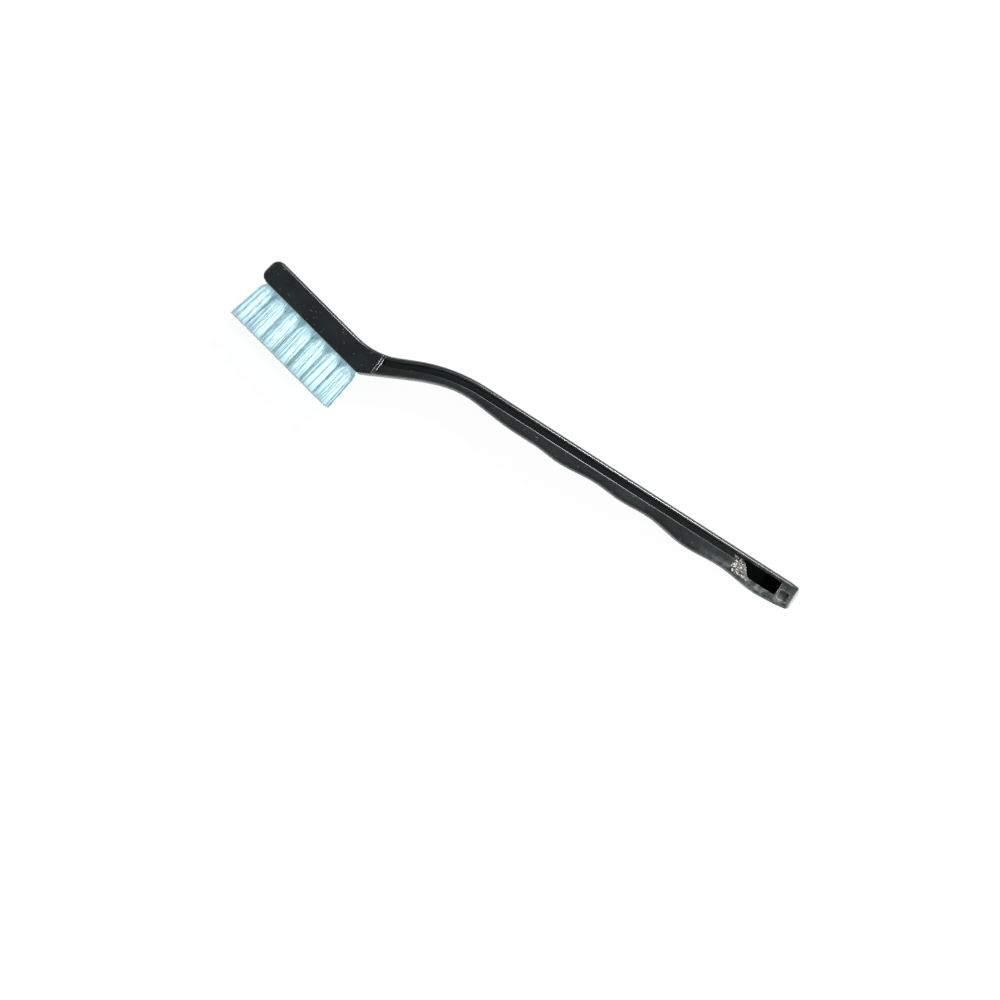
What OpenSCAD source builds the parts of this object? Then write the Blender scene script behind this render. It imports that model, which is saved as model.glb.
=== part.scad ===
// Nylon detail brush: one moulded handle and block, with stapled tufts of
// crimped filament. It lies on its side, and all sizes are in millimetres.

/* [Block] */
// Length of the block along its bristle face, from the toe to the heel corner
block_l = 38.4; // [37.2:0.1:44]
// Thickness of the block, from its back to its bristle face
block_t = 7.3; // [6.6:0.1:9]
// Width of the block across its rows
block_w = 12.7; // [12.4:0.1:16]
// Radius of the rounding on the block's back edges
block_edge_r = 1; // [0.5:0.1:1.1]
// Radius of the rounded toe
toe_r = 2.6; // [1.5:0.1:3]
// Angle between the block and the straight grip
head_tilt = 12.4; // [6:0.2:16]

/* [Neck] */
// Radius of the hollow bend behind the block
neck_r = 20; // [18:0.5:24]
// Angle at which the neck climbs from the block to the grip
neck_rise = 24.5; // [18:0.5:28]
// Straight stretch between the two bends of the neck
neck_l = 4.7; // [3:0.1:8]
// Radius of the bend from the neck into the grip
bend_r = 50; // [40:1:60]
// Depth of the step on each side where the block ends
step_depth = 0.75; // [0.4:0.05:1]
// Length of the sloping face of that step
step_l = 0.9; // [0.6:0.1:1.5]

/* [Grip] */
// Length of the grip's straight back
grip_l = 105; // [100:1:125]
// Thickness of the shank at its thinnest, ahead of the finger grips
thin_t = 5; // [4.8:0.1:6]
// Thickness of the rim along the back
rim_t = 1.25; // [1.2:0.05:1.4]
// Radius of the rim's rounded outer edge
rim_edge_r = 1.1; // [0.4:0.05:1.1]
// Height of the side channel, below the rim
channel_h = 1.75; // [1.4:0.05:1.9]
// Depth of the side channel, on each side
channel_depth = 3.2; // [2:0.1:3.8]
// Radius of the channel's lower edge
channel_edge_r = 0.35; // [0.15:0.05:0.5]
// Radius of the grip's finger side, at each edge
grip_edge_r = 1.4; // [0.8:0.1:1.4]
// Radius of the corners at the free end
end_r = 1.6; // [1:0.1:2.2]

/* [End pockets] */
// Length of the deep pocket near the free end, along its upper edge
pocket_l = 12.2; // [9:0.1:14]
// Height of the deep pocket
pocket_h = 4.2; // [3.6:0.1:4.6]
// Depth of the deep pocket, on each side
pocket_depth = 4.9; // [3:0.1:5]
// Rim left above the deep pocket
pocket_rim = 1.5; // [1.3:0.1:1.7]
// Solid end left beyond the deep pocket
pocket_end = 5.5; // [4.8:0.1:8]
// Slant of the deep pocket's front, from its top to its bottom
pocket_slant = 3.2; // [0:0.1:4]
// Corner radius of the pockets
pocket_r = 0.5; // [0.3:0.1:0.8]
// Length of the scooped ramp ahead of the deep pocket
ramp_l = 4.6; // [3:0.1:6]
// Depth that the ramp falls to
ramp_depth = 2.6; // [1.5:0.1:3]
// Length of the small pocket in the solid end
eye_l = 3.1; // [2:0.1:3.2]
// Height of the small pocket
eye_h = 2.8; // [2:0.1:3]
// Depth of the small pocket, on each side
eye_depth = 1; // [0.5:0.1:1.5]

/* [Bristles] */
// Tufts in each outer row; the middle row is staggered and has one less
tufts_per_row = 7; // [5:1:7]
// Spacing of the tufts along a row
tuft_pitch = 5.25; // [4.9:0.05:5.3]
// Distance from the toe to the first tuft
toe_margin = 4.45; // [4.2:0.05:5]
// Spacing of the three rows
row_pitch = 3.9; // [3.8:0.05:4]
// Diameter of each tuft hole
hole_d = 3; // [2.7:0.05:3.1]
// Depth of each tuft hole
hole_depth = 5; // [4.4:0.1:5.4]
// Free length of the bristles
trim_l = 13; // [9:0.5:20]
// Diameter that a tuft spreads to at its tips
tip_d = 4.6; // [3.6:0.1:4.6]
// Bundles of filament that show round one tuft
bundles = 14; // [10:1:18]

/* [Staples] */
// Thickness of the flat anchor wire
staple_t = 0.4; // [0.3:0.05:0.6]
// Height of the anchor wire, along the hole
staple_h = 1.8; // [1.4:0.1:2.2]
// Bite of the anchor into the wall at each side of its hole
staple_bite = 0.35; // [0.2:0.05:0.5]
// Filament folded under the anchor
fold_t = 0.8; // [0.6:0.1:1.2]

/* [Hidden] */
// Gap round a root or a staple, so that the pieces meet without overlap
fit_gap = 0.02;
// Small break of the channel's upper edge, and the draft of its walls
lip = 0.12;
draft = 0.06;
// How far a cut runs past the face that it opens
past = 1;
// Share of the round ends that is also taken off the width
plan_share = 0.7;

handle_w = block_w - 2 * step_depth;
row_places = [for (i = [0:tufts_per_row - 1]) toe_margin + i * tuft_pitch];
mid_places = [for (i = [0:tufts_per_row - 2]) toe_margin + (i + 0.5) * tuft_pitch];

// The top line of the brush, from the toe: [length, turn to the left]
neck_turn = head_tilt + neck_rise;
neck_arc_l = neck_r * neck_turn * PI / 180;
bend_arc_l = bend_r * neck_rise * PI / 180;
// The hollow bend starts a little ahead of the heel corner
heel_lead = 6.4;
block_top_l = block_l - heel_lead;
top_line = [
    [block_top_l, 0],
    [neck_arc_l, neck_turn],
    [neck_l, 0],
    [bend_arc_l, -neck_rise],
    [grip_l, 0]
];
neck_s = block_top_l + neck_arc_l + neck_l;
grip_s = neck_s + bend_arc_l;
total_s = grip_s + grip_l;
step_s = block_l + 2.2;
step_foot_s = step_s + step_l;
channel_s = step_foot_s + 0.5;
pocket_end_s = total_s - pocket_end;
pocket_s = pocket_end_s - pocket_l;
pocket_low = -pocket_rim - pocket_h;

// Crests and hollows of the finger grips: [distance from the free end, thickness]
finger_waves = [
    [112.5, thin_t],
    [90.5, thin_t + 1.45],
    [85, thin_t + 1.4],
    [76.5, thin_t + 2],
    [64.5, thin_t + 1.1],
    [56, thin_t + 1.6],
    [47.5, thin_t + 1.15],
    [33.5, thin_t + 2.7],
    [22.5, thin_t + 2],
    [10, thin_t + 3.1],
    [0, thin_t + 2.5]
];

function along(p, h, l, turn) =
    turn == 0
    ? [p + l * [cos(h), sin(h)], h]
    : let (r = l / (turn * PI / 180))
      [p + r * [sin(h + turn) - sin(h), cos(h) - cos(h + turn)], h + turn];

// Place and heading on the top line, at distance s from the toe
function top_at(s, i = 0, p = [0, 0], h = -head_tilt) =
    let (l = top_line[i][0], turn = top_line[i][1])
    (s <= l || i == len(top_line) - 1)
    ? along(p, h, s, turn * s / l)
    : let (q = along(p, h, l, turn)) top_at(s - l, i + 1, q[0], q[1]);

function ease(a, b, t) = a + (b - a) * (1 - cos(180 * max(0, min(1, t)))) / 2;
function ramp(s, s0, s1) = max(0, min(1, (s - s0) / (s1 - s0)));
function unit_up(h) = [-sin(h), cos(h)];

// Sections stand square to the block up to the heel, then swing square to the neck
function section_heading(s) =
    s <= block_l ? -head_tilt
    : s < neck_s ? -head_tilt + neck_turn * ramp(s, block_l, neck_s)
    : top_at(s)[1];

// Distance down a section from p to a line through q with heading line_h
function down_to(p, h, q, line_h) =
    (p - q) * unit_up(line_h) / (unit_up(h) * unit_up(line_h));

function block_point(x, y) =
    x * [cos(head_tilt), -sin(head_tilt)] + y * unit_up(-head_tilt);

function neck_depth(s) =
    let (p = top_at(s)[0], h = section_heading(s))
    min(down_to(p, h, block_point(0, -block_t), -head_tilt),
        down_to(p, h, block_point(block_l, -block_t), neck_rise + 1));

function wave_depth(back, i = 0) =
    i == len(finger_waves) - 1 || back > finger_waves[i][0]
    ? finger_waves[min(i, len(finger_waves) - 1)][1]
    : back >= finger_waves[i + 1][0]
    ? ease(finger_waves[i][1], finger_waves[i + 1][1],
           (finger_waves[i][0] - back) / (finger_waves[i][0] - finger_waves[i + 1][0]))
    : wave_depth(back, i + 1);

thin_s = total_s - finger_waves[0][0];
function depth_at(s) =
    s <= neck_s ? neck_depth(s)
    : s < thin_s ? ease(neck_depth(neck_s), thin_t, ramp(s, neck_s, thin_s))
    : wave_depth(total_s - s);

function width_at(s) = ease(block_w, handle_w, ramp(s, step_s, step_foot_s)) / 2;
function channel_at(s) =
    channel_depth * ramp(s, step_foot_s, channel_s)
    * (1 - ramp(s, pocket_s + 1, pocket_s + 3));

// Inset of a round end of radius r, at distance e from its tip
function round_inset(e, r) = e >= r ? 0 : r - sqrt(r * r - (r - e) * (r - e));
function end_inset(s) = max(round_inset(s, toe_r), round_inset(total_s - s, end_r));

function corner(w, n, r, from, steps = 4) =
    [for (i = [0:steps])
        let (a = from - i * 90 / steps) [w - r + r * cos(a), n - r * sin(a)]];

// One side of a section: [half width, depth below the back], from the back down
function side_points(s) =
    let (
        w = width_at(s),
        d = depth_at(s),
        c = channel_at(s),
        t = ramp(s, step_s, channel_s),
        top_r = block_edge_r + (rim_edge_r - block_edge_r) * t,
        low_r = 0.3 + (grip_edge_r - 0.3) * t,
        l = min(lip, c),
        e = min(channel_edge_r, c),
        g = rim_t + channel_h
    )
    concat(
        corner(w, top_r, top_r, 90),
        [[w, rim_t - lip], [w - l, rim_t]],
        [[w - c, rim_t + c * draft], [w - c, g - c * draft]],
        corner(w, g + channel_edge_r, e, 90, 3),
        corner(w, d - low_r, low_r, 0)
    );

function section_points(s) =
    let (
        p = top_at(s)[0],
        up = unit_up(section_heading(s)),
        d = depth_at(s),
        w = width_at(s),
        inset = end_inset(s),
        side = side_points(s),
        n = len(side),
        both = concat(side, [for (i = [n - 1:-1:0]) [-side[i][0], side[i][1]]])
    )
    [for (q = both)
        let (
            depth = inset + q[1] * (d - 2 * inset) / d,
            z = q[0] * (w - plan_share * inset) / w,
            xy = p - depth * up
        )
        [xy[0], xy[1], z]];

function spread(a, b, n) = [for (i = [0:n - 1]) a + (b - a) * i / n];
round_marks = [0, 0.06, 0.22, 0.5];
stations = concat(
    [for (m = round_marks) m * toe_r],
    spread(toe_r, block_top_l, 2),
    spread(block_top_l, block_l, 3),
    spread(block_l, step_s, 3),
    spread(step_s, step_foot_s, 8),
    [step_foot_s, channel_s],
    spread(channel_s + 0.5, neck_s, 4),
    spread(neck_s, grip_s, 8),
    spread(grip_s, pocket_s - 1, 38),
    spread(pocket_s - 1, pocket_end_s + 1, 8),
    spread(pocket_end_s + 1, total_s - end_r, 2),
    [for (i = [3:-1:0]) total_s - round_marks[i] * end_r]
);

module loft(rings) {
    n = len(rings[0]);
    last = len(rings) - 1;
    points = [for (ring = rings) for (p = ring) p];
    walls = [for (i = [0:last - 1]) for (j = [0:n - 1])
        let (a = i * n + j, b = i * n + (j + 1) % n, c = a + n, e = b + n)
        for (face = [[a, c, b], [b, c, e]]) face];
    first_cap = [for (j = [0:n - 1]) j];
    last_cap = [for (j = [n - 1:-1:0]) last * n + j];
    polyhedron(points, concat([first_cap], walls, [last_cap]), convexity = 10);
}

// Puts a piece at a hole's mouth: +Z leaves the block, and X runs along it
module on_block(x, z) {
    mouth = block_point(x, -block_t);
    translate([mouth[0], mouth[1], z]) rotate([90, 0, -head_tilt]) children();
}

// Puts the brush on its side, with its origin in the middle of the block's lower face
module in_place() {
    middle = block_point(block_l / 2, -block_t / 2);
    translate([-middle[0], -middle[1], block_w / 2]) children();
}

// Puts a cut at the grip, where X is the distance s and Y the height above the back
module on_grip() {
    end = top_at(total_s)[0];
    translate([end[0] - total_s, end[1], 0]) children();
}

module both_sides() {
    children();
    mirror([0, 0, 1]) children();
}

// A flat shape with rounded corners, through the corners that the list gives
module rounded(corners, r) {
    hull() for (c = corners) translate(c) circle(r, $fn = 24);
}

module deep_pocket() {
    x0 = pocket_s + pocket_r;
    x1 = pocket_end_s - pocket_r;
    y0 = pocket_low + pocket_r;
    y1 = -pocket_rim - pocket_r;
    on_grip() both_sides()
        translate([0, 0, handle_w / 2 - pocket_depth]) linear_extrude(pocket_depth + past)
            rounded([[x0, y1], [x1, y1], [x1, y0], [x0 + pocket_slant, y0]], pocket_r);
}

// A wedge that falls from the side face into the deep pocket
module pocket_ramp() {
    x0 = pocket_s - ramp_l;
    x1 = pocket_s + pocket_slant + pocket_r;
    y0 = pocket_low + pocket_r / 2;
    y1 = -pocket_rim - 2 * pocket_r;
    on_grip() both_sides()
        translate([0, y1, handle_w / 2]) rotate([90, 0, 0]) linear_extrude(y1 - y0)
            polygon([[x0, past], [x0, 0], [x1, -ramp_depth], [x1, past]]);
}

// The small pocket stands midway between the deep one and the round of the end
module end_eye() {
    x0 = pocket_end_s + (pocket_end - end_r - eye_l) / 2 + pocket_r + 0.2;
    x1 = x0 + eye_l - 2 * pocket_r;
    y0 = pocket_low - 2 * lip + pocket_r;
    y1 = y0 + eye_h - 2 * pocket_r;
    on_grip() both_sides()
        translate([0, 0, handle_w / 2 - eye_depth]) linear_extrude(eye_depth + past)
            rounded([[x0, y0], [x0, y1], [x1, y1], [x1, y0]], pocket_r);
}

module tuft_bore() {
    translate([0, 0, -hole_depth]) cylinder(d = hole_d, h = hole_depth + past, $fn = 48);
}

staple_l = hole_d + 2 * staple_bite;
staple_floor = -hole_depth + fold_t;
module staple_bar(gap) {
    translate([-staple_l / 2 - gap, -staple_t / 2 - gap, staple_floor - gap])
        cube([staple_l + 2 * gap, staple_t + 2 * gap, staple_h + 2 * gap]);
}

// Every tuft's place: outer rows full, middle row staggered
module each_tuft() {
    for (z = [-row_pitch, row_pitch]) for (x = row_places) on_block(x, z) children();
    for (x = mid_places) on_block(x, 0) children();
}

module handle() {
    color("#1b2223") in_place() difference() {
        loft([for (s = stations) section_points(s)]);
        each_tuft() {
            tuft_bore();
            staple_bar(fit_gap);
        }
        deep_pocket();
        pocket_ramp();
        end_eye();
    }
}

// One ring of a tuft: filament bundles stand proud of the grooves between them
function tuft_ring(z, r, groove) =
    [for (i = [0:2 * bundles - 1])
        let (a = i * 180 / bundles, q = i % 2 == 0 ? r : r - groove)
        [q * cos(a), q * sin(a), z]];

root_r = hole_d / 2 - fit_gap;
module tuft() {
    tip_r = tip_d / 2;
    color("#c9f0fa") {
        difference() {
            translate([0, 0, -hole_depth + fit_gap])
                cylinder(r = root_r, h = hole_depth - fit_gap, $fn = 48);
            staple_bar(fit_gap);
        }
        loft([
            tuft_ring(-0.4, root_r - 0.1, 0.05),
            tuft_ring(trim_l * 0.3, root_r + (tip_r - root_r) * 0.4, 0.2),
            tuft_ring(trim_l, tip_r, 0.35)
        ]);
    }
}

module staples() {
    color("silver") in_place() each_tuft() staple_bar(0);
}

module upper_tuft(i) { in_place() on_block(row_places[i], row_pitch) tuft(); }
module lower_tuft(i) { in_place() on_block(row_places[i], -row_pitch) tuft(); }
module middle_tuft(i) { in_place() on_block(mid_places[i], 0) tuft(); }

handle();
staples();  // anchor_staples
for (i = [0:tufts_per_row - 1]) {
    upper_tuft(i);
    lower_tuft(i);
    if (i < tufts_per_row - 1)
        middle_tuft(i);
}
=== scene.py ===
import math
import random

import bmesh
import bpy
from mathutils import Matrix, Vector


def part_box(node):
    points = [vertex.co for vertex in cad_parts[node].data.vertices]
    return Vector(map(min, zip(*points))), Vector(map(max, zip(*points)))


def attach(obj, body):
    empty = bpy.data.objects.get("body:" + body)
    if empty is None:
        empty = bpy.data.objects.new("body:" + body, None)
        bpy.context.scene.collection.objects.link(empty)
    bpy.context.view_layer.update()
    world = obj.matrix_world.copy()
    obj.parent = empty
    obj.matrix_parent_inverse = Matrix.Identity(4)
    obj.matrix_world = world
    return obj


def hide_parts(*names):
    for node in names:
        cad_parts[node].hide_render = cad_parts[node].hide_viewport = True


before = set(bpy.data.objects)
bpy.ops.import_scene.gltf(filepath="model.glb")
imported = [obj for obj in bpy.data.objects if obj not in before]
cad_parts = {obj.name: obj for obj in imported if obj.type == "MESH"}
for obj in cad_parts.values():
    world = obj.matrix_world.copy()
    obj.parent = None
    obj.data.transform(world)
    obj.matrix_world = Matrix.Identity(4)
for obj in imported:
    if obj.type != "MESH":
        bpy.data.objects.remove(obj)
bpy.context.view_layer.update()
mm = 0.001

# Camera: it looks straight down on the brush, which lies on its side, and it is
# rolled so that the grip runs down to the right, as in the photograph.
grip_slope = math.radians(32.64)
view_width = 280 * mm
view_centre = (71.15 * mm, -16.1 * mm)
lens_mm = 85
sensor_mm = 36
brush_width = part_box("handle")[1][2]

camera_data = bpy.data.cameras.new("Camera")
camera_data.lens = lens_mm
camera_data.sensor_width = sensor_mm
camera_data.clip_start = 0.01
camera = bpy.data.objects.new("Camera", camera_data)
camera.location = (*view_centre, brush_width + view_width * lens_mm / sensor_mm)
camera.rotation_euler = (0, 0, grip_slope)
bpy.context.collection.objects.link(camera)
bpy.context.scene.camera = camera
bpy.context.scene.view_settings.view_transform = "Standard"


def colour(code):
    """Linear colour of an sRGB hex code."""
    parts = [int(code[i:i + 2], 16) / 255 for i in (0, 2, 4)]
    linear = [c / 12.92 if c <= 0.04045 else ((c + 0.055) / 1.055) ** 2.4 for c in parts]
    return (*linear, 1)


def add_node(tree, kind, settings=None, **links):
    """Add a node: settings are its properties, links are values or sockets."""
    made = tree.nodes.new(kind)
    for name, value in (settings or {}).items():
        setattr(made, name, value)
    for name, value in links.items():
        socket = made.inputs[int(name[1:]) if name[1:].isdigit() else name.replace("_", " ")]
        if isinstance(value, bpy.types.NodeSocket):
            tree.links.new(value, socket)
        else:
            socket.default_value = value
    return made


def new_material(name):
    """An empty material with its output, ready for its shader."""
    made = bpy.data.materials.new(name)
    made.use_nodes = True
    made.node_tree.nodes.clear()
    output = made.node_tree.nodes.new("ShaderNodeOutputMaterial")
    return made, made.node_tree, output


# Floor: white studio paper. The camera sees it as plain white with a light
# shadow, and the brush gets its bounce and its reflection.
floor_size = 4
floor_gap = 0.02 * mm
paper_white = colour("F4F6F7")
shadow_share = 0.08

bpy.ops.object.select_all(action="DESELECT")
bpy.ops.mesh.primitive_plane_add(size=floor_size, location=(view_centre[0], 0, -floor_gap))
floor = bpy.context.object
floor.name = "studio_floor"
paper, tree, output = new_material("matt white paper")
sheet = add_node(tree, "ShaderNodeBsdfDiffuse", Color=paper_white)
glow = add_node(tree, "ShaderNodeEmission", Color=(1, 1, 1, 1), Strength=1)
seen = add_node(tree, "ShaderNodeLightPath")
share = add_node(tree, "ShaderNodeMath", {"operation": "MULTIPLY"},
                 _0=seen.outputs["Is Camera Ray"], _1=1 - shadow_share)
mixed = add_node(tree, "ShaderNodeMixShader", _0=share.outputs[0],
                 _1=sheet.outputs[0], _2=glow.outputs[0])
tree.links.new(mixed.outputs[0], output.inputs["Surface"])
floor.data.materials.append(paper)

# Lights: a soft even sky, a little dimmer overhead, two small softboxes that draw
# bright lines on the brush's rounded edges, and a wide weak one for the bristles.
sky_low = 0.5
sky_high = 0.33
low_until = math.radians(25)
high_from = math.radians(60)

world = bpy.data.worlds.new("studio")
bpy.context.scene.world = world
world.use_nodes = True
tree = world.node_tree
tree.nodes.clear()
seen = add_node(tree, "ShaderNodeLightPath")
toward = add_node(tree, "ShaderNodeTexCoord")
height = add_node(tree, "ShaderNodeSeparateXYZ", Vector=toward.outputs["Generated"])
sky_level = add_node(tree, "ShaderNodeMapRange", {"interpolation_type": "SMOOTHSTEP"},
                     Value=height.outputs["Z"], From_Min=math.sin(low_until),
                     From_Max=math.sin(high_from), To_Min=sky_low, To_Max=sky_high)
level = add_node(tree, "ShaderNodeMix", Factor=seen.outputs["Is Camera Ray"],
                 A=sky_level.outputs[0], B=1)
sky = add_node(tree, "ShaderNodeBackground", Color=(1, 1, 1, 1), Strength=level.outputs[0])
output = tree.nodes.new("ShaderNodeOutputWorld")
tree.links.new(sky.outputs[0], output.inputs["Surface"])


def softbox(name, place, aim, width, height, watts):
    """An area lamp at a place, turned to face its aim."""
    lamp_data = bpy.data.lights.new(name, "AREA")
    lamp_data.shape = "RECTANGLE"
    lamp_data.size, lamp_data.size_y = width, height
    lamp_data.energy = watts
    lamp = bpy.data.objects.new(name, lamp_data)
    lamp.location = place
    lamp.rotation_euler = (Vector(aim) - Vector(place)).to_track_quat("-Z", "Y").to_euler()
    bpy.context.collection.objects.link(lamp)


block_spot = (0, 0, 0.006)
grip_spot = (0.12, 0, 0.006)
softbox("back_softbox", (0.125, 0.50, 0.48), grip_spot, width=0.12, height=0.09, watts=6)
softbox("end_softbox", (0.62, -0.03, 0.50), block_spot, width=0.10, height=0.08, watts=3.8)
softbox("bristle_softbox", (-0.42, -0.38, 0.60), block_spot, width=0.55, height=0.35, watts=1.4)

# Handle: one moulding of black polypropylene, block, neck and grip together.
# It has a fine moulded grain, small scratches and a worn grey free end, with a painted highlight
# round that end and painted shade in its deep pocket.
merge_gap = 0.002 * mm
flat_angle = math.radians(0.6)
edge_round = 0.14 * mm
sharp_angle = math.radians(50)
smooth_angle = math.radians(38)
plastic_black = colour("080D0E")
plastic_rubbed = colour("141B1C")
plastic_worn = colour("6C7471")
scratch_grey = colour("6E7877")
pale_wear_and_highlight = colour("B4BAB8")
painted_pocket_shade = colour("030404")
rub_size = 9 * mm
patch_size = 2.2 * mm
scratch_size = 1.1 * mm
grain_size = 0.35 * mm
pit_size = 0.25 * mm
worn_roughness = 0.58
handle_low, handle_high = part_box("handle")
grip_end, grip_back = handle_high[0], handle_high[1]
wear_length = 34 * mm
under_fade = 1 * mm
edge_reach = 0.3 * mm
wear_and_highlight_reach = 16 * mm
# How far from the free end, the sides and the back each band starts and is full: the end and side
# bands place a painted highlight round the free end, the back band is worn duller
end_highlight_band = (0.9 * mm, 0.4 * mm)
end_highlight_side_band = (1.4 * mm, 0.8 * mm)
lip_band = (2.6 * mm, 1.6 * mm)
lip_dulling = 0.12
grip_start = (35 * mm, 50 * mm)
pocket_end = 5.5 * mm
pocket_length = 12.2 * mm
pocket_slant = 3.2 * mm
pocket_rim = 1.5 * mm
pocket_height = 4.2 * mm
pocket_top = grip_back - pocket_rim
pocket_low = pocket_top - pocket_height
pocket_front = grip_end - pocket_end - pocket_length
grip_sides = (0.75 * mm, 11.95 * mm)
grip_half = (grip_sides[1] - grip_sides[0]) / 2
matt_below = 2.8 * mm


def copied_shape(node, name):
    """A copy of a CAD node's mesh with its loose triangles joined."""
    shape = bpy.data.objects.new(name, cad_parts[node].data.copy())
    bpy.context.collection.objects.link(shape)
    bpy.ops.object.select_all(action="DESELECT")
    shape.select_set(True)
    bpy.context.view_layer.objects.active = shape
    bpy.ops.object.mode_set(mode="EDIT")
    bpy.ops.mesh.select_all(action="SELECT")
    bpy.ops.mesh.remove_doubles(threshold=merge_gap)
    bpy.ops.mesh.dissolve_limited(angle_limit=flat_angle)
    bpy.ops.object.mode_set(mode="OBJECT")
    return shape


def polypropylene():
    """Black moulded polypropylene: satin, with moulded grain, scratches and wear, and a painted
    highlight at the free end.
    """
    made, tree, output = new_material("moulded black polypropylene")
    place = add_node(tree, "ShaderNodeTexCoord").outputs["Object"]
    axes = add_node(tree, "ShaderNodeSeparateXYZ", Vector=place)
    rubbing = add_node(tree, "ShaderNodeTexNoise", Vector=place, Scale=1 / rub_size,
                       Detail=5, Roughness=0.6)
    tone = add_node(tree, "ShaderNodeValToRGB", Fac=rubbing.outputs["Fac"])
    tone.color_ramp.elements[0].position = 0.35
    tone.color_ramp.elements[0].color = plastic_black
    tone.color_ramp.elements[1].position = 0.75
    tone.color_ramp.elements[1].color = plastic_rubbed
    # The free end goes grey in patches where it is handled, most of all under the pocket
    toward_end = add_node(tree, "ShaderNodeMapRange", Value=axes.outputs["X"],
                          From_Min=grip_end - wear_length, From_Max=grip_end - pocket_length,
                          To_Max=1)
    under = add_node(tree, "ShaderNodeMapRange", Value=axes.outputs["Y"],
                     From_Min=pocket_low, From_Max=pocket_low + under_fade, To_Min=1, To_Max=0.2)
    patches = add_node(tree, "ShaderNodeTexNoise", Vector=place, Scale=1 / patch_size,
                       Detail=6, Roughness=0.65)
    blotched = add_node(tree, "ShaderNodeMapRange", Value=patches.outputs["Fac"],
                        From_Min=0.4, From_Max=0.66, To_Max=0.75)
    lower_end = add_node(tree, "ShaderNodeMath", {"operation": "MULTIPLY"},
                         _0=toward_end.outputs[0], _1=under.outputs[0])
    worn = add_node(tree, "ShaderNodeMath", {"operation": "MULTIPLY"},
                    _0=lower_end.outputs[0], _1=blotched.outputs[0])
    rubbed = add_node(tree, "ShaderNodeMix", {"data_type": "RGBA"}, _0=worn.outputs[0],
                      _6=tone.outputs["Color"], _7=plastic_worn)
    # Sharp edges are painted pale: rubbed wear a little all over, and much more at the free end,
    # where the pale edges are partly a painted highlight
    rounded = add_node(tree, "ShaderNodeBevel", {"samples": 6}, Radius=edge_reach)
    flat = add_node(tree, "ShaderNodeNewGeometry")
    facing = add_node(tree, "ShaderNodeVectorMath", {"operation": "DOT_PRODUCT"},
                      _0=rounded.outputs[0], _1=flat.outputs["Normal"])
    edge = add_node(tree, "ShaderNodeMapRange", Value=facing.outputs["Value"],
                    From_Min=0.995, From_Max=0.93, To_Max=1)
    edge_wear_and_highlight = add_node(tree, "ShaderNodeMapRange", Value=axes.outputs["X"],
                         From_Min=grip_end - wear_and_highlight_reach, From_Max=grip_end - pocket_end,
                         To_Min=0.08, To_Max=1.2)
    blotched_wear_and_highlight = add_node(tree, "ShaderNodeMath", {"operation": "MULTIPLY"},
                         _0=edge_wear_and_highlight.outputs[0], _1=blotched.outputs[0])
    edge_wear_and_highlight_share = add_node(tree, "ShaderNodeMath", {"operation": "MULTIPLY"},
                          _0=edge.outputs[0], _1=blotched_wear_and_highlight.outputs[0])
    # A pale band round the rim of the free end is a painted highlight, the reflection of a lamp at
    # that side
    end_highlight_fade = add_node(tree, "ShaderNodeMapRange", Value=axes.outputs["X"],
                        From_Min=grip_end - end_highlight_band[0], From_Max=grip_end - end_highlight_band[1],
                        To_Max=0.7)
    off_middle = add_node(tree, "ShaderNodeMath", {"operation": "SUBTRACT"},
                          _0=axes.outputs["Z"], _1=brush_width / 2)
    aside = add_node(tree, "ShaderNodeMath", {"operation": "ABSOLUTE"}, _0=off_middle.outputs[0])
    end_highlight_side_fade = add_node(tree, "ShaderNodeMapRange", Value=aside.outputs[0],
                         From_Min=grip_half - end_highlight_side_band[0], From_Max=grip_half - end_highlight_side_band[1],
                         To_Max=1)
    painted_end_highlight = add_node(tree, "ShaderNodeMath", {"operation": "MULTIPLY"},
                        _0=end_highlight_fade.outputs[0], _1=end_highlight_side_fade.outputs[0])
    wear_and_highlight_share = add_node(tree, "ShaderNodeMath", {"operation": "MAXIMUM"},
                          _0=edge_wear_and_highlight_share.outputs[0], _1=painted_end_highlight.outputs[0])
    pale_wear_and_highlight_mix = add_node(tree, "ShaderNodeMix", {"data_type": "RGBA"}, _0=wear_and_highlight_share.outputs[0],
                      _6=rubbed.outputs[2], _7=pale_wear_and_highlight)
    # Short fine scratches and specks of lint, drawn a little coarser than real ones
    drawn_out = add_node(tree, "ShaderNodeMapping", Vector=place, Rotation=(0, 0, 0.5),
                         Scale=(1, 2.6, 1))
    marks = add_node(tree, "ShaderNodeTexNoise", Vector=drawn_out.outputs[0],
                     Scale=1 / scratch_size, Detail=2, Roughness=0.5)
    scratched = add_node(tree, "ShaderNodeMapRange", Value=marks.outputs["Fac"],
                         From_Min=0.69, From_Max=0.76, To_Max=0.55)
    shade = add_node(tree, "ShaderNodeMix", {"data_type": "RGBA"}, _0=scratched.outputs[0],
                     _6=pale_wear_and_highlight_mix.outputs[2], _7=scratch_grey)
    gloss = add_node(tree, "ShaderNodeMapRange", Value=rubbing.outputs["Fac"],
                     From_Min=0.3, From_Max=0.7, To_Min=0.19, To_Max=0.27)
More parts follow.
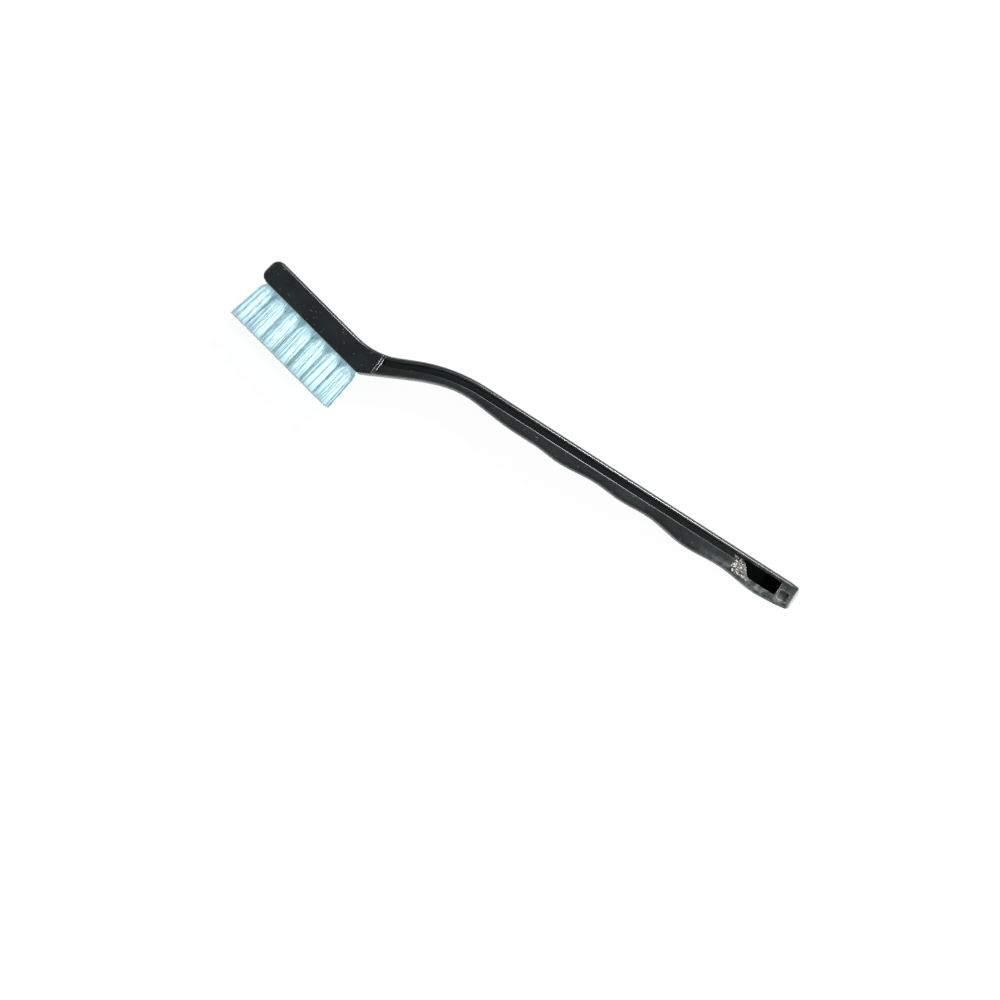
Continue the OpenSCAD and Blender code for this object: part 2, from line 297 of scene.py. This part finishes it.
    # The channel's lower lip is duller than its back rim, where fingers lie on the grip
    below_rim = add_node(tree, "ShaderNodeMapRange", Value=axes.outputs["Y"],
                         From_Min=grip_back - lip_band[0], From_Max=grip_back - lip_band[1],
                         To_Min=lip_dulling, To_Max=0)
    on_grip = add_node(tree, "ShaderNodeMapRange", Value=axes.outputs["X"],
                       From_Min=grip_start[0], From_Max=grip_start[1], To_Max=1)
    duller = add_node(tree, "ShaderNodeMath", {"operation": "MULTIPLY_ADD"},
                      _0=below_rim.outputs[0], _1=on_grip.outputs[0], _2=gloss.outputs[0])
    rough = add_node(tree, "ShaderNodeMix", {"data_type": "FLOAT"}, _0=lower_end.outputs[0],
                     _2=duller.outputs[0], _3=worn_roughness)
    grain = add_node(tree, "ShaderNodeTexNoise", Vector=place, Scale=1 / grain_size,
                     Detail=3, Roughness=0.5)
    bump = add_node(tree, "ShaderNodeBump", Height=grain.outputs["Fac"], Strength=0.12,
                    Distance=0.02 * mm)
    shader = add_node(tree, "ShaderNodeBsdfPrincipled", Base_Color=shade.outputs[2],
                      Roughness=rough.outputs[0], IOR=1.49, Normal=bump.outputs[0])
    tree.links.new(shader.outputs[0], output.inputs["Surface"])
    return made


def shaded_pocket_plastic():
    """The same plastic off a spark-eroded core: dead matt, with a darker colour painted in as
    shade in the deep pocket.
    """
    made, tree, output = new_material("matt black polypropylene with painted shade")
    place = add_node(tree, "ShaderNodeTexCoord").outputs["Object"]
    pits = add_node(tree, "ShaderNodeTexNoise", Vector=place, Scale=1 / pit_size,
                    Detail=4, Roughness=0.7)
    bump = add_node(tree, "ShaderNodeBump", Height=pits.outputs["Fac"], Strength=0.8,
                    Distance=0.05 * mm)
    shader = add_node(tree, "ShaderNodeBsdfPrincipled", Base_Color=painted_pocket_shade,
                      Roughness=0.95, IOR=1.2, Normal=bump.outputs[0])
    tree.links.new(shader.outputs[0], output.inputs["Surface"])
    return made


handle = copied_shape("handle", "moulded_handle")
edges = handle.modifiers.new("edges", "BEVEL")
edges.width = edge_round
edges.segments = 2
edges.limit_method = "ANGLE"
edges.angle_limit = sharp_angle
bpy.ops.object.modifier_apply(modifier="edges")
bpy.ops.object.shade_smooth_by_angle(angle=smooth_angle)
faces = handle.modifiers.new("faces", "WEIGHTED_NORMAL")
faces.keep_sharp = True
bpy.ops.object.modifier_apply(modifier="faces")
handle.data.materials.clear()
handle.data.materials.append(polypropylene())
handle.data.materials.append(shaded_pocket_plastic())
# Faces deep in the pocket take the darker matt plastic, as painted shade
for face in handle.data.polygons:
    x, y, z = face.center
    if (pocket_front < x < grip_end - pocket_end and pocket_low < y < pocket_top
            and grip_sides[0] + matt_below < z < grip_sides[1] - matt_below):
        face.material_index = 1
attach(handle, "root")
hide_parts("handle")

# Torn scoop: the plastic on the ramp before the deep pocket is ragged and white with
# stress. Its crumbs are small bits that cling to the ramp, to the channel's floor and to
# the face below, on both sides.
stress_grey = colour("5D5B53")
stress_white = colour("CFC8BB")
blotch_size = 0.7 * mm
ramp_length = 4.6 * mm
ramp_depth = 2.6 * mm
crumbs_a_side = 230
crumb_size = (0.13 * mm, 0.34 * mm)
torn_below = 0.8 * mm
torn_height = 4.6 * mm
torn_length = 5.6 * mm
torn_taper = 0.4
channel_low = grip_back - 3 * mm
channel_depth = 3.2 * mm


def stressed_plastic():
    """Torn polypropylene: bone white to grey, chalky, with no shine."""
    made, tree, output = new_material("stress-whitened polypropylene")
    place = add_node(tree, "ShaderNodeTexCoord").outputs["Object"]
    blotches = add_node(tree, "ShaderNodeTexNoise", Vector=place, Scale=1 / blotch_size,
                        Detail=3, Roughness=0.6)
    tone = add_node(tree, "ShaderNodeValToRGB", Fac=blotches.outputs["Fac"])
    tone.color_ramp.elements[0].position = 0.38
    tone.color_ramp.elements[0].color = stress_grey
    tone.color_ramp.elements[1].position = 0.58
    tone.color_ramp.elements[1].color = stress_white
    shader = add_node(tree, "ShaderNodeBsdfPrincipled", Base_Color=tone.outputs["Color"],
                      Roughness=0.8, IOR=1.49)
    tree.links.new(shader.outputs[0], output.inputs["Surface"])
    return made


bpy.ops.object.select_all(action="DESELECT")
bpy.ops.mesh.primitive_ico_sphere_add(subdivisions=1, radius=1)
crumb = bpy.context.object
crumb_dice = random.Random(5)
ramp_front = pocket_front - ramp_length
ramp_fall = ramp_depth / (ramp_length + pocket_slant)
torn = bmesh.new()
for face_z, inward in ((grip_sides[1], -1), (grip_sides[0], 1)):
    for i in range(crumbs_a_side):
        y = pocket_low - torn_below + crumb_dice.betavariate(1.5, 1.7) * torn_height
        up = (y - pocket_low) / (pocket_top - pocket_low)
        x = (pocket_front + pocket_slant * (1 - max(0, up))
             - crumb_dice.betavariate(1.3, 1.6) * torn_length * (1 - torn_taper * max(0, up)))
        depth = 0
        if y > channel_low:
            depth = channel_depth
        elif y > pocket_low:
            depth = max(0, x - ramp_front) * ramp_fall
        spot = Vector((x, y, face_z + inward * depth))
        size = crumb_dice.uniform(*crumb_size)
        stretch = Matrix.Diagonal((size, size * crumb_dice.uniform(0.4, 0.9),
                                   size * crumb_dice.uniform(0.3, 0.6), 1))
        turn = Matrix.Rotation(crumb_dice.uniform(0, math.tau), 4, "Z")
        first = len(torn.verts)
        torn.from_mesh(crumb.data)
        torn.verts.ensure_lookup_table()
        for vert in torn.verts[first:]:
            ragged = vert.co * crumb_dice.uniform(0.6, 1.3)
            vert.co = spot + turn @ stretch @ ragged
crumbs = bpy.data.objects.new("torn_scoop_crumbs", bpy.data.meshes.new("torn_scoop_crumbs"))
torn.to_mesh(crumbs.data)
torn.free()
bpy.data.objects.remove(crumb)
bpy.context.collection.objects.link(crumbs)
crumbs.data.materials.append(stressed_plastic())
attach(crumbs, "root")

# Anchor staples: short bits of flat bright wire, each driven across its hole over
# the folded filament. They bite into the walls, and nothing shows of them outside.
wire_silver = colour("B9BAB4")
wire_grain = 0.6 * mm


def flat_wire():
    """Drawn and rolled flat wire: bright, with faint lines along its length."""
    made, tree, output = new_material("rolled flat steel wire")
    place = add_node(tree, "ShaderNodeTexCoord").outputs["Object"]
    along = add_node(tree, "ShaderNodeMapping", Vector=place, Scale=(1, 1, 12))
    lines = add_node(tree, "ShaderNodeTexNoise", Vector=along.outputs[0],
                     Scale=1 / wire_grain, Detail=2)
    rough = add_node(tree, "ShaderNodeMapRange", Value=lines.outputs["Fac"],
                     To_Min=0.22, To_Max=0.42)
    shader = add_node(tree, "ShaderNodeBsdfPrincipled", Base_Color=wire_silver,
                      Metallic=1, Roughness=rough.outputs[0])
    tree.links.new(shader.outputs[0], output.inputs["Surface"])
    return made


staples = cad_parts["anchor_staples"]
staples.data.materials.clear()
staples.data.materials.append(flat_wire())

# Bristles: crimped nylon filament in staggered rows of tufts. Each tuft fills its
# hole, spreads towards its tips, and was trimmed flat after it was stapled in.
head_tilt = math.radians(12.4)
block_length = 38.4 * mm
block_thickness = 7.3 * mm
toe_margin = 4.45 * mm
tuft_pitch = 5.25 * mm
row_pitch = 3.9 * mm
trim = 13 * mm
root_radius = 1.46 * mm
tip_along = 2.8 * mm
tip_across = 2.05 * mm
flare_height = 2 * mm
flare_share = 0.88
filament_radius = 0.145 * mm
filament_sides = 5
filaments = 84
outer_bias = 0.36
core_share = 0.86
core_sides = 18
core_short = 0.3 * mm
strand_shapes = 5
crimp_steps = 11
crimp_wave = 4.2 * mm
crimp_height = 0.1 * mm
sunk = 1.2 * mm
row_lean = 0.25 * mm
toe_lean = -0.45 * mm
stray_along = 0.28 * mm
stray_across = 0.12 * mm
uneven_trim = 0.01
nylon_pale = colour("AEC4C8")
nylon_blue = colour("9DBBC3")
tip_pale_and_painted_light = colour("F4EDEE")
painted_root_glow = 0.75
painted_tip_glow = 0.17
clear_share = 0.5


def drawn_out_disc(name, sides, radius, moves):
    """A disc that starts down in the hole and is extruded by one move after another."""
    bpy.ops.object.select_all(action="DESELECT")
    bpy.ops.mesh.primitive_circle_add(vertices=sides, radius=radius, fill_type="NGON",
                                      location=(0, 0, -sunk))
    drawn = bpy.context.object
    drawn.name = name
    bpy.ops.object.transform_apply(location=True)
    bpy.ops.object.mode_set(mode="EDIT")
    bpy.ops.mesh.select_all(action="SELECT")
    for move in moves:
        bpy.ops.mesh.extrude_region_move(TRANSFORM_OT_translate={"value": move})
    bpy.ops.mesh.select_all(action="SELECT")
    bpy.ops.mesh.normals_make_consistent(inside=False)
    bpy.ops.object.mode_set(mode="OBJECT")
    return drawn


def crimped_filament(name, phase):
    """One filament: a round end, drawn out in steps that swing with the crimp."""
    step = (trim + sunk) / crimp_steps
    swings = [crimp_height * math.sin(phase + i * step / crimp_wave * math.tau)
              for i in range(crimp_steps + 1)]
    return drawn_out_disc(name, filament_sides, filament_radius,
                          [(swings[i + 1] - swings[i], 0, step) for i in range(crimp_steps)])


def nylon():
    """Nylon filament: icy blue, slightly clear, with a painted glow that is strongest at its root.
    """
    made, tree, output = new_material("crimped nylon filament with painted glow")
    strand = add_node(tree, "ShaderNodeUVMap", {"uv_map": "strand"})
    which = add_node(tree, "ShaderNodeSeparateXYZ", Vector=strand.outputs[0])
    tone = add_node(tree, "ShaderNodeValToRGB", Fac=which.outputs["X"])
    tone.color_ramp.elements[0].position = 0.1
    tone.color_ramp.elements[0].color = nylon_blue
    tone.color_ramp.elements[1].position = 0.5
    tone.color_ramp.elements[1].color = nylon_pale
    # The cut tips are painted paler: partly their own pale cut ends, partly painted light that
    # lifts the shade on tips turned away from the lamps
    tips = add_node(tree, "ShaderNodeMapRange", Value=which.outputs["Y"],
                    From_Min=0.93, From_Max=0.98, To_Min=0, To_Max=0.6)
    shade = add_node(tree, "ShaderNodeMix", {"data_type": "RGBA"}, _0=tips.outputs[0],
                     _6=tone.outputs["Color"], _7=tip_pale_and_painted_light)
    # Painted glow: the filaments glow, most near the root, to lift the shade between the tufts
    root_glow_fade = add_node(tree, "ShaderNodeMapRange", Value=which.outputs["Y"],
                         From_Min=0, From_Max=0.45, To_Min=painted_root_glow, To_Max=painted_tip_glow)
    solid = add_node(tree, "ShaderNodeBsdfPrincipled", Base_Color=shade.outputs[2],
                     Roughness=0.35, IOR=1.53, Emission_Color=nylon_blue,
                     Emission_Strength=root_glow_fade.outputs[0])
    glow = add_node(tree, "ShaderNodeBsdfTranslucent", Color=shade.outputs[2])
    mixed = add_node(tree, "ShaderNodeMixShader", _0=clear_share,
                     _1=solid.outputs[0], _2=glow.outputs[0])
    tree.links.new(mixed.outputs[0], output.inputs["Surface"])
    return made


def glowing_heart_nylon():
    """The heart of a tuft: nylon with a painted glow all over, as strong as at the filaments'
    roots.
    """
    made, tree, output = new_material("packed nylon filament with painted glow")
    shader = add_node(tree, "ShaderNodeBsdfPrincipled", Base_Color=nylon_blue,
                      Roughness=0.6, IOR=1.53, Emission_Color=nylon_blue,
                      Emission_Strength=painted_root_glow)
    tree.links.new(shader.outputs[0], output.inputs["Surface"])
    return made


strand_kinds = [crimped_filament("strand_%d" % i, i * math.tau / strand_shapes)
                for i in range(strand_shapes)]
bristle_nylon = nylon()
heart_glow_nylon = glowing_heart_nylon()
along_block = Vector((math.cos(head_tilt), -math.sin(head_tilt), 0))
out_of_block = Vector((-math.sin(head_tilt), -math.cos(head_tilt), 0))
block_middle = along_block * (block_length / 2) + out_of_block * (block_thickness / 2)


def tuft_place(along, across):
    """Frame of a hole's mouth: Z leaves the block, and X runs along the row."""
    side = out_of_block.cross(along_block)
    mouth = along_block * along + out_of_block * block_thickness - block_middle
    mouth.z = brush_width / 2 + across
    turned = Matrix((along_block, side, out_of_block)).transposed().to_4x4()
    return Matrix.Translation(mouth) @ turned


def tuft_core():
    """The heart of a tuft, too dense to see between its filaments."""
    quarter = trim / 4
    steps = (sunk, quarter, quarter, quarter, quarter - core_short)
    return drawn_out_disc("tuft_heart", core_sides, root_radius * core_share,
                          [(0, 0, step) for step in steps])


heart = tuft_core()


def fanned(root, lean, height):
    """Where a filament that starts at a root has got to at a height, fanning out."""
    t = max(0, height) / trim
    flare = min(1, max(0, height) / flare_height) ** 0.5
    spread = flare_share * flare + (1 - flare_share) * t
    return Vector((root.x * (1 + (tip_along / root_radius - 1) * spread) + lean.x * t,
                   root.y * (1 + (tip_across / root_radius - 1) * spread) + lean.y * t,
                   height))


def make_tuft(name, node, along, across, lean, seed):
    """Copies of the filaments, packed round the hole and fanned towards the tips."""
    dice = random.Random(seed)
    mesh = bpy.data.meshes.new(name)
    build = bmesh.new()
    marks = build.loops.layers.uv.new("strand")
    place = tuft_place(along, across)
    golden = math.pi * (3 - math.sqrt(5))

    def add_strand(shape, root, drift, turn, length, which):
        first_vert, first_face = len(build.verts), len(build.faces)
        build.from_mesh(shape.data)
        build.verts.ensure_lookup_table()
        build.faces.ensure_lookup_table()
        for face in build.faces[first_face:]:
            for corner in face.loops:
                corner[marks].uv = (which, max(0, corner.vert.co.z) / trim)
        for vert in build.verts[first_vert:]:
            height = vert.co.z * length
            if root is None:
                vert.co = place @ fanned(vert.co.xy, drift, height)
            else:
                swing = turn @ Vector((vert.co.x, vert.co.y, 0))
                vert.co = place @ (fanned(root, drift, height) + swing)

    for i in range(filaments):
        share = ((i + 0.5) / filaments) ** outer_bias
        angle = i * golden + dice.uniform(-0.25, 0.25)
        root = Vector((math.cos(angle), math.sin(angle))) * share * (root_radius - filament_radius)
        drift = Vector((lean + dice.gauss(0, stray_along), dice.gauss(0, stray_across)))
        add_strand(dice.choice(strand_kinds), root, drift,
                   Matrix.Rotation(dice.uniform(0, math.tau), 3, "Z"),
                   1 + dice.uniform(-uneven_trim, uneven_trim), dice.random())
    strand_faces = len(build.faces)
    add_strand(heart, None, Vector((lean, 0)), None, 1, 0)
    build.to_mesh(mesh)
    build.free()
    tuft = bpy.data.objects.new(name, mesh)
    bpy.context.collection.objects.link(tuft)
    mesh.materials.append(bristle_nylon)
    mesh.materials.append(heart_glow_nylon)
    for polygon in mesh.polygons:
        polygon.use_smooth = len(polygon.vertices) == 4
        if polygon.index >= strand_faces:
            polygon.material_index = 1
    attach(tuft, "root")
    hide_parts(node)


rows = [("upper", 7, 0, row_pitch), ("middle", 6, 0.5, 0), ("lower", 7, 0, -row_pitch)]
for row, (side, count, stagger, across) in enumerate(rows):
    for i in range(count):
        along = toe_margin + (i + stagger) * tuft_pitch
        lean = toe_lean if i == 0 else row_lean
        make_tuft("%s_bristles_%d" % (side, i + 1), "%s_tuft_%d" % (side, i + 1),
                  along, across, lean, 100 * row + i)
for pattern in [*strand_kinds, heart]:
    bpy.data.objects.remove(pattern)
